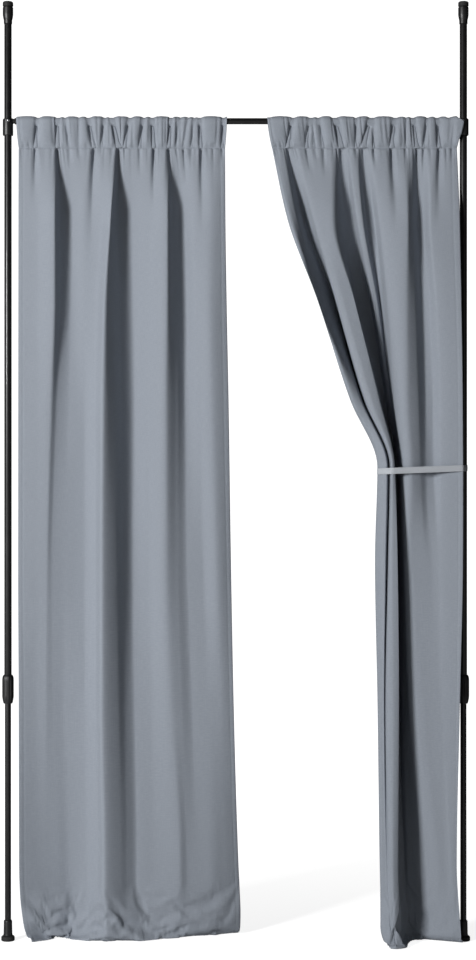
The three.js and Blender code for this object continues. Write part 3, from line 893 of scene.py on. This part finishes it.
def thickened(mesh, name, thickness=cloth_thickness):
    """The sheet with its thickness, as one closed skin."""
    holder = place_object("holder", mesh)
    solid = holder.modifiers.new("thickness", "SOLIDIFY")
    solid.thickness = thickness
    solid.offset = 0
    made = finished_mesh(holder)
    made.name = name
    bpy.data.objects.remove(holder)
    return made


def hemmed(points):
    """The side hems: a doubled strip along each edge, with its line of stitching pressed in."""
    wide = np.linalg.norm(np.diff(points, axis=1), axis=2).mean(0)
    along = running_length(wide)
    for distance in (along, along[-1] - along):
        strip = np.clip((0.0125 - distance) / 0.002, 0, 1) * 0.0005
        groove = np.exp(-(((distance - 0.0115) / 0.0018) ** 2)) * 0.0006
        points[..., 1] -= strip - groove
    return points


def resampled(grid, rows, columns):
    """A grid of points read at other, evenly spaced rows and columns."""
    out = grid
    for axis, count in ((0, rows), (1, columns)):
        at = np.linspace(0, out.shape[axis] - 1, count)
        low = np.minimum(at.astype(int), out.shape[axis] - 2)
        share = (at - low).reshape((-1, 1, 1) if axis == 0 else (1, -1, 1))
        out = np.take(out, low, axis) * (1 - share) + np.take(out, low + 1, axis) * share
    return out


def settle_hem(points, rows, name):
    """Lets the lowest rows of the cloth buckle on the floor, by cloth simulation on a coarser grid."""
    frames = 45
    part = points[-rows:]
    columns = part.shape[1]
    coarse = resampled(part, rows, columns // 2)
    count = coarse.shape[1]
    sheet = place_object(name, grid_mesh(name, coarse))
    pins = sheet.vertex_groups.new(name="pins")
    for k in range(rows):
        weight = float(np.clip(1.2 - 4 * k / rows, 0, 1))
        if weight > 0:
            pins.add(list(range(k * count, (k + 1) * count)), weight, "REPLACE")
    plane = bpy.data.meshes.new("floor_tool")
    near, far = coarse[..., 0].min() - 0.3, coarse[..., 0].max() + 0.3
    corners = [(near, -0.5, 0), (far, -0.5, 0), (far, 0.5, 0), (near, 0.5, 0)]
    plane.from_pydata(corners, [], [(0, 1, 2, 3)])
    floor_tool = place_object("floor_tool", plane)
    floor_tool.modifiers.new("collide", "COLLISION")
    floor_tool.collision.thickness_outer = 0.001
    floor_tool.collision.cloth_friction = 8
    rise = ((1, coarse[..., 2].min() - 0.003), (frames * 2 // 3, 0.0), (frames, 0.0))
    for moment, height in rise:
        floor_tool.location.z = height
        floor_tool.keyframe_insert("location", index=2, frame=moment)
    cloth = sheet.modifiers.new("cloth", "CLOTH")
    settings = cloth.settings
    settings.quality = 5
    settings.mass = 0.004
    settings.tension_stiffness = 20
    settings.compression_stiffness = 20
    settings.shear_stiffness = 6
    settings.bending_stiffness = 0.12
    settings.tension_damping = 6
    settings.compression_damping = 6
    settings.shear_damping = 6
    settings.bending_damping = 0.5
    settings.air_damping = 3
    settings.vertex_group_mass = "pins"
    settings.pin_stiffness = 1
    cloth.collision_settings.collision_quality = 2
    cloth.collision_settings.distance_min = 0.0015
    cloth.point_cache.frame_start = 1
    cloth.point_cache.frame_end = frames
    for moment in range(1, frames + 1):
        bpy.context.scene.frame_set(moment)
    settled = sheet.evaluated_get(bpy.context.evaluated_depsgraph_get())
    found = np.empty(len(settled.data.vertices) * 3)
    settled.data.vertices.foreach_get("co", found)
    moved = found.reshape(coarse.shape) - coarse
    bpy.data.objects.remove(sheet)
    bpy.data.objects.remove(floor_tool)
    bpy.context.scene.frame_set(1)
    result = points.copy()
    result[-rows:] += resampled(moved, rows, columns)
    result[..., 2] = np.maximum(result[..., 2], 0.0012)
    return result


def curtain(side, guides, heights, pole, pleats, most, pile, flap=0.0):
    """The whole cloth of one curtain: pocket rows, then panel rows from the stitch line to the hem."""
    columns, slump_height = 260, 0.5
    edges = [corner.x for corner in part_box(f"{side}_pocket")]
    across = even_columns(guides, heights, pole, pleats, columns)
    z_rows = panel_heights(heights[-1])
    panel = panel_grid(guides, heights, pole, across, pleats, z_rows, most)
    ripple = soft_noise(panel.shape[:2], (26, 9), 5) * 0.0011
    panel[..., 1] += ripple * np.clip((stitch_z - z_rows) / 0.1, 0, 1)[:, None]
    spare = smooth_through(*pile, across) * mm
    panel[..., 2] -= spare[None, :] * np.clip(1 - z_rows / slump_height, 0, 1)[:, None]
    pocket = pocket_grid(panel[0, :, 0], edges, pleats, pole, flap)
    pocket[-1] = panel[0]
    panel = settle_hem(panel, int((z_rows < 0.2).sum()), f"{side}_hem")
    return hemmed(np.concatenate([pocket[:-1], panel]))


def hang_curtain(side, points, body):
    """The cloth with its thickness, hung on the rod as one piece."""
    mesh = thickened(grid_mesh(f"{side}_sheet", points), f"{side}_curtain")
    nodes = (f"{side}_pocket", f"{side}_panel")
    piece = link_object(f"{side}_curtain", mesh, curtain_cloth, body, "curtain_fabric", *nodes)
    return piece


def add_stitches(name, line, body):
    """A row of short raised stitches along a line of points, one thread thick."""
    length, gap, radius, sides = 0.0032, 0.0012, 0.00035, 6
    steps = np.linalg.norm(np.diff(line, axis=0), axis=1)
    along = running_length(steps)
    verts, faces = [], []
    for start in np.arange(0.004, along[-1] - 0.006, length + gap):
        places = (start, start + length)
        a, b = np.array([[np.interp(place, along, line[:, i]) for i in range(3)] for place in places])
        run = (b - a) / np.linalg.norm(b - a)
        out = np.cross(run, [0, 0, 1])
        up = np.cross(out, run)
        first = len(verts)
        for share, swell in ((0, 0.3), (0.12, 1), (0.88, 1), (1, 0.3)):
            for j in range(sides):
                turn = 2 * math.pi * j / sides
                reach = radius * swell * (math.cos(turn) * out + math.sin(turn) * up)
                verts.append(tuple(a + (b - a) * share + reach))
        for k in range(3):
            for j in range(sides):
                i, n = first + k * sides + j, first + k * sides + (j + 1) % sides
                faces.append((i, n, n + sides, i + sides))
        faces.append(tuple(first + j for j in reversed(range(sides))))
        faces.append(tuple(first + 3 * sides + j for j in range(sides)))
    mesh = bpy.data.meshes.new(name)
    mesh.from_pydata(verts, [], faces)
    mesh.shade_smooth()
    link_object(name, mesh, thread, body, "curtain_fabric")


def sew_pocket(side, points, body):
    """The row of stitches on the front of the cloth that closes the pocket."""
    stitch_line = points[pocket_rows - 1] + np.array([0, -cloth_thickness / 2, 0])
    add_stitches(f"{side}_pocket_stitches", stitch_line, body)


def make_weave_group():
    """A plain weave on the cloth's own metres, with slubs, and soft shade from thread to thread."""
    group, nodes, links, entry, leave = new_group(
        "plain_weave",
        [
            ("Thread Pitch", "NodeSocketFloat", 0.0006),
            ("Colour", "NodeSocketColor", (0.3, 0.32, 0.36, 1)),
            ("Slub Colour", "NodeSocketColor", (0.38, 0.4, 0.44, 1)),
            ("Slubs", "NodeSocketFloat", 0.5),
        ],
        [("Colour", "NodeSocketColor"), ("Roughness", "NodeSocketFloat"), ("Height", "NodeSocketFloat")],
    )
    place = nodes.new("ShaderNodeUVMap")
    place.uv_map = "cloth"
    split = nodes.new("ShaderNodeSeparateXYZ")
    links.new(place.outputs["UV"], split.inputs["Vector"])
    turns = math_node(nodes, links, "DIVIDE", math.pi, entry.outputs["Thread Pitch"])
    u = math_node(nodes, links, "MULTIPLY", split.outputs["X"], turns)
    v = math_node(nodes, links, "MULTIPLY", split.outputs["Y"], turns)
    warp = math_node(nodes, links, "SINE", u)
    weft = math_node(nodes, links, "SINE", v)
    over = math_node(nodes, links, "MULTIPLY", warp, weft)
    threads = math_node(nodes, links, "ABSOLUTE", over)

    def slubs(long_way, short_way, seed):
        stretch = nodes.new("ShaderNodeCombineXYZ")
        for axis, rate in (("X", long_way), ("Y", short_way)):
            scaled = math_node(nodes, links, "MULTIPLY", split.outputs[axis], rate)
            links.new(scaled, stretch.inputs[axis])
        stretch.inputs["Z"].default_value = seed
        return noise_node(nodes, links, stretch.outputs["Vector"], 1.0, 2.0, 0.6)

    weft_slubs = slubs(60.0, 900.0, 0.0)
    warp_slubs = slubs(900.0, 60.0, 7.0)
    both = math_node(nodes, links, "ADD", weft_slubs, warp_slubs)
    uneven = math_node(nodes, links, "SUBTRACT", both, 0.8)
    uneven = math_node(nodes, links, "MULTIPLY", uneven, entry.outputs["Slubs"])
    uneven = math_node(nodes, links, "MULTIPLY", uneven, 2.2, clamp=True)
    tinted = mixed_colour(nodes, links, uneven, entry.outputs["Colour"], entry.outputs["Slub Colour"])
    links.new(tinted, leave.inputs["Colour"])
    low = math_node(nodes, links, "MULTIPLY", threads, -0.15)
    links.new(math_node(nodes, links, "ADD", low, 0.95), leave.inputs["Roughness"])
    relief = math_node(nodes, links, "ADD", threads, math_node(nodes, links, "MULTIPLY", both, 0.6))
    links.new(relief, leave.inputs["Height"])
    return group


plain_weave = make_weave_group()


def woven(name, colour, slub_colour, pitch, slubs, bump):
    material, nodes, links, shader = new_material(name)
    weave = nodes.new("ShaderNodeGroup")
    weave.node_tree = plain_weave
    weave.inputs["Thread Pitch"].default_value = pitch
    weave.inputs["Colour"].default_value = (*colour, 1)
    weave.inputs["Slub Colour"].default_value = (*slub_colour, 1)
    weave.inputs["Slubs"].default_value = slubs
    take_finish(nodes, links, shader, weave, bump, 0.0003)
    return material


curtain_cloth = woven("curtain_cloth", (0.258, 0.285, 0.327), (0.325, 0.355, 0.405), 0.0007, 0.5, 0.5)
thread = grained("sewing_thread", (0.2, 0.22, 0.26), (0.5, 0.7), 3000, 0.3, dust=0.1)


# ---------- Left curtain ----------
# It hangs straight. Sixteen gathers at the stitch line melt into a few broad folds, and from the
# middle down the cloth steps back to the right of one long ridge and fans out towards the floor.

left_heights = [stitch_z, 1.87, 1.66, 1.40, 0.99, 0.62, 0.21, -0.004]
left_guides = [
    # left edge, and the middle of the first broad fold
    ([28, 28, 28, 28, 28, 30, 31, 42], [-4, -6, -8, -10, -12, -16, -20, -22]),
    ([77, 77, 77, 76, 73, 78, 80, 85], [-10, -12, -14, -14, -13, -10, -4, -2]),
    # its ridge, and the first long valley
    ([124, 123, 122, 112, 101, 98, 102, 102], [-14, -24, -24, -18, -14, -10, 2, 8]),
    ([130, 136, 138, 129, 117, 119, 128, 126], [4, 3, -3, -9, -10, -6, 8, 22]),
    ([138, 156, 162, 160, 150, 150, 159, 162], [8, 12, 7, -3, -6, -2, 14, 34]),
    # the second broad fold, rising to the long ridge
    ([196, 196, 196, 196, 196, 196, 201, 205], [-2, 0, -2, -4, -4, -4, 8, 18]),
    ([249, 241, 231, 228, 229, 229, 234, 234], [-8, -8, -12, -15, -16, -18, -16, -14]),
    ([280, 268, 255, 250, 248, 248, 254, 254], [-12, -26, -32, -34, -36, -38, -40, -42]),
    # its flank, and the second valley, which stays open further down
    ([285, 275, 272, 275, 283, 286, 291, 291], [-2, -10, -14, -16, -18, -20, -22, -24]),
    ([289, 286, 292, 297, 300, 306, 312, 312], [8, 12, 12, 10, 2, -2, -6, -8]),
    ([300, 304, 315, 320, 323, 329, 335, 335], [8, 17, 20, 20, 12, 8, 6, 4]),
    # the third broad fold and its ridge
    ([357, 360, 362, 362, 362, 368, 373, 373], [0, 2, 2, 2, 4, 6, 6, 6]),
    ([415, 414, 413, 410, 410, 422, 443, 443], [-12, -18, -20, -18, -12, -4, 2, 8]),
    # the third valley
    ([422, 430, 435, 438, 438, 448, 466, 469], [4, 6, 4, -2, -4, 0, 10, 18]),
    ([432, 450, 455, 461, 466, 479, 492, 497], [8, 18, 18, 12, 4, 8, 14, 26]),
    # the last broad fold and the right edge
    ([477, 485, 490, 495, 503, 516, 528, 533], [-2, -2, 0, 2, 4, 8, 18, 36]),
    ([524, 526, 526, 531, 542, 552, 562, 570], [-10, -10, -10, -8, -4, 8, 28, 50]),
    ([564, 565, 568, 573, 579, 586, 598, 608], [-6, -4, -2, 0, 4, 14, 42, 70]),
]
# Each pleat: its place on the stitch line, how far its top leans, its depth and width in the
# pocket, then its depth under the stitch line and how far down it runs.
left_pleats = [
    (70, 8, 7, 2.6, 8, 150),
    (127, 2, 8, 2.8, 9, 170),
    (158, -10, 4, 2.2, 4, 60),
    (184, 0, 2, 2.0, 3, 35),
    (222, -14, 9, 2.8, 11, 330),
    (242, 9, 5, 2.2, 3, 30),
    (286, -18, 10, 3.2, 9, 170),
    (302, 15, 7, 2.4, 3, 40),
    (341, 12, 6, 2.4, 4, 80),
    (378, -4, 9, 2.6, 10, 210),
    (417, 6, 8, 2.6, 8, 170),
    (436, 12, 2, 2.4, 1, 30),
    (455, 14, 2, 2.0, 6, 110),
    (476, 8, 3, 2.0, 3, 40),
    (501, -4, 8, 2.6, 10, 260),
    (556, 3, 4, 2.4, 4, 40),
]
# How much longer than straight the cloth is at shares of its width, in millimetres.
left_pile = ([0, 0.12, 0.3, 0.42, 0.6, 0.8, 1], [14, 20, 6, 8, 3, 8, 3])
points = curtain("left", left_guides, left_heights, left_pole, left_pleats, most=1.5, pile=left_pile)
left_curtain = hang_curtain("left", points, None)
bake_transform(left_curtain)
sew_pocket("left", points, "left_heading")


# ---------- Right curtain ----------
# The same cloth, drawn aside. Its leading edge sweeps down to the tie-back in leaning folds, and
# below the tie it hangs as a narrow bundle whose front fold reaches the floor first.

right_heights = [stitch_z, 1.87, 1.66, 1.40, 1.23, 0.99, 0.62, 0.21, -0.002]
right_guides = [
    # leading edge, its lip, and the first valley
    ([-497, -457, -382, -295, -226, -232, -226, -221, -216], [-2, -16, -48, -34, -38, -36, -42, -52, -64]),
    ([-488, -449, -378, -288, -219, -226, -221, -215, -211], [-8, -22, -42, -43, -46, -44, -50, -62, -80]),
    ([-470, -434, -364, -270, -204, -208, -212, -207, -200], [-6, -16, -16, -40, -56, -58, -62, -78, -94]),
    ([-455, -410, -331, -259, -195, -201, -208, -203, -195], [10, 22, 28, 0, -30, -36, -52, -78, -94]),
    ([-443, -396, -330, -259, -195, -200, -207, -199, -190], [4, 8, 10, -16, -46, -52, -60, -84, -96]),
    ([-428, -388, -333, -258, -194, -199, -205, -197, -188], [-6, -10, -20, -40, -60, -62, -66, -86, -98]),
    # the front fold, and the dark gap behind it
    ([-384, -362, -312, -241, -190, -189, -187, -190, -180], [-8, -17, -32, -50, -64, -68, -74, -90, -100]),
    ([-345, -342, -286, -222, -184, -178, -174, -176, -163], [-8, -20, -32, -47, -61, -68, -72, -84, -90]),
    ([-320, -303, -278, -214, -181, -176, -172, -172, -158], [14, 24, 34, 14, -14, 10, 20, 10, -16]),
    ([-306, -286, -240, -199, -174, -170, -164, -153, -143], [12, 26, 42, 26, 6, 22, 34, 22, 2]),
    # a narrow fold that ends in the gap, and the gap beyond it
    ([-296, -274, -231, -193, -171, -167, -160, -145, -135], [-8, -6, 16, 14, 2, 8, 16, 14, 4]),
    ([-280, -263, -223, -190, -170, -165, -157, -138, -127], [-8, -8, 16, 10, 0, 2, 6, 10, 4]),
    ([-268, -250, -214, -187, -169, -163, -153, -130, -119], [12, 12, 30, 6, -4, -6, -2, 6, 2]),
    ([-256, -232, -206, -184, -168, -161, -149, -122, -109], [8, 14, 16, -4, -12, -14, -10, 0, 0]),
    # the wide rear part with its two soft folds, and the edge beside the pole
    ([-236, -217, -198, -180, -166, -158, -142, -105, -90], [-6, -10, -16, -24, -34, -34, -28, -12, -4]),
    ([-156, -149, -153, -151, -141, -138, -112, -70, -54], [-10, -24, -36, -46, -54, -43, -38, -30, -24]),
    ([-136, -133, -130, -124, -120, -108, -92, -60, -45], [-4, -8, -24, -38, -48, -44, -40, -32, -26]),
    ([-122, -114, -107, -99, -98, -90, -76, -50, -38], [12, 12, -2, -20, -36, -44, -42, -34, -28]),
    ([-104, -102, -91, -83, -82, -75, -64, -43, -32], [4, 6, -6, -20, -34, -46, -44, -36, -30]),
    ([-84, -86, -71, -62, -62, -60, -52, -36, -24], [-8, -16, -26, -36, -46, -50, -47, -39, -32]),
    ([-17, -12, -10, -8, -8, -9, -16, -22, -6], [-8, -19, -34, -46, -56, -60, -56, -42, -36]),
]
right_pleats = [
    (-458, 16, 7, 3.0, 7, 170),
    (-409, 10, 5, 2.4, 6, 75),
    (-386, -8, 4, 2.2, 3, 35),
    (-364, -14, 5, 2.6, 6, 80),
    (-318, -19, 11, 3.6, 7, 170),
    (-280, 0, 4, 2.2, 2, 30),
    (-262, 22, 10, 3.4, 7, 170),
    (-233, 0, 3, 2.0, 5, 60),
    (-188, 10, 9, 3.2, 11, 260),
    (-150, 0, 2, 2.0, 3, 40),
    (-121, -12, 8, 2.8, 8, 150),
    (-104, 10, 4, 2.2, 6, 110),
    (-64, -6, 8, 2.8, 9, 230),
    (-30, -10, 4, 2.4, 3, 40),
]
right_pile = ([0, 0.3, 0.45, 0.6, 1], [6, 8, 4, 0, 0])
points = curtain(
    "right", right_guides, right_heights, right_pole, right_pleats, most=1.35, pile=right_pile, flap=0.021
)
hang_curtain("right", points, "rod_inner")
sew_pocket("right", points, "rod_inner")


# ---------- Tie-back ----------
# A narrow band of the same cloth, doubled and stitched along both edges. It goes round the gathered
# cloth and the pole, and its ends close over one another behind the pole with hook-and-loop tape.

band_low, band_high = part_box("tieback_band")
band_z = (band_low.z + band_high.z) / 2
band_tall = band_high.z - band_low.z
band_thickness = 0.0012


def convex_hull(places):
    """The outline of a set of flat points, counter-clockwise."""
    ordered = sorted(set(map(tuple, np.round(places, 6).tolist())))

    def half(run):
        chain = []
        for p in run:
            while len(chain) > 1:
                (ax, ay), (bx, by) = chain[-2], chain[-1]
                if (bx - ax) * (p[1] - ay) - (by - ay) * (p[0] - ax) > 0:
                    break
                chain.pop()
            chain.append(p)
        return chain[:-1]

    return np.array(half(ordered) + half(ordered[::-1]))


def band_path(cloth_points):
    """From behind the pole, round it, over the bundle's front, and back over its own start."""
    patch_low, patch_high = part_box("tieback_loop_patch")[0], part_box("tieback_hook_patch")[1]
    inner_y = patch_low.y - 0.0003 - band_thickness / 2
    outer_y = patch_high.y + 0.0004 + band_thickness / 2
    start_x = patch_low.x - 0.004
    end_x = patch_high.x + 0.006
    near = cloth_points[np.abs(cloth_points[:, 2] - band_z) < 0.014][:, :2]
    turn = np.linspace(0, 2 * math.pi, 48, endpoint=False)
    pole_reach = 0.0102
    ring = np.stack([right_pole + pole_reach * np.cos(turn), pole_reach * np.sin(turn)], -1)
    tail = np.array([[start_x, inner_y], [right_pole - 0.002, inner_y]])
    clear = 0.0008 + band_thickness / 2
    spread = [near + clear * np.array([math.cos(a), math.sin(a)]) for a in turn[::4]]
    loop = convex_hull(np.concatenate([*spread, ring, tail]))[::-1]
    first = int(np.argmin(np.hypot(*(loop - tail[0]).T)))
    loop = np.roll(loop, -first, axis=0)
    lap = np.array([[start_x - 0.02, outer_y], [end_x, outer_y]])
    path = np.concatenate([loop, lap])
    steps = np.hypot(*np.diff(path, axis=0).T)
    along = running_length(steps)
    fine = np.arange(0, along[-1], 0.0025)
    path = np.stack([np.interp(fine, along, path[:, i]) for i in (0, 1)], -1)
    kernel = np.hanning(7)[1:-1]
    kernel /= kernel.sum()
    smooth = np.stack([np.convolve(path[:, i], kernel, mode="valid") for i in (0, 1)], -1)
    return np.concatenate([path[:2], smooth, path[-2:]])


def add_band(cloth_points):
    path = band_path(cloth_points)
    run = np.gradient(path, axis=0)
    run /= np.linalg.norm(run, axis=1, keepdims=True)
    out = np.stack([-run[:, 1], run[:, 0]], -1)
    across = np.linspace(-0.5, 0.5, 13)
    tilt = 0.002 - (path[:, 0].max() - path[:, 0]) / np.ptp(path[:, 0]) * 0.009
    seam = -0.0004 * np.exp(-(((np.abs(across) - 0.36) / 0.05) ** 2))
    crown = 0.0004 * (1 - (2 * across) ** 4) + seam
    flat = path[:, None, :] + out[:, None, :] * crown[None, :, None]
    height = band_z + tilt[:, None] + across[None, :] * band_tall
    points = np.concatenate([flat, height[..., None]], -1)
    mesh = thickened(grid_mesh("band_sheet", points, band_tall), "tieback", band_thickness)
    band = link_object("tieback", mesh, band_cloth, "rod_inner", "tieback_fabric", "tieback_band")


band_cloth = woven("tieback_cloth", (0.43, 0.455, 0.49), (0.49, 0.515, 0.55), 0.0005, 0.3, 0.4)
tape = grained("hook_and_loop_tape", (0.1, 0.11, 0.125), (0.8, 0.95), 2500, 0.9, dust=0.3)
add_band(points.reshape(-1, 3))
for node in ("tieback_loop_patch", "tieback_hook_patch"):
    repaint(node, tape)
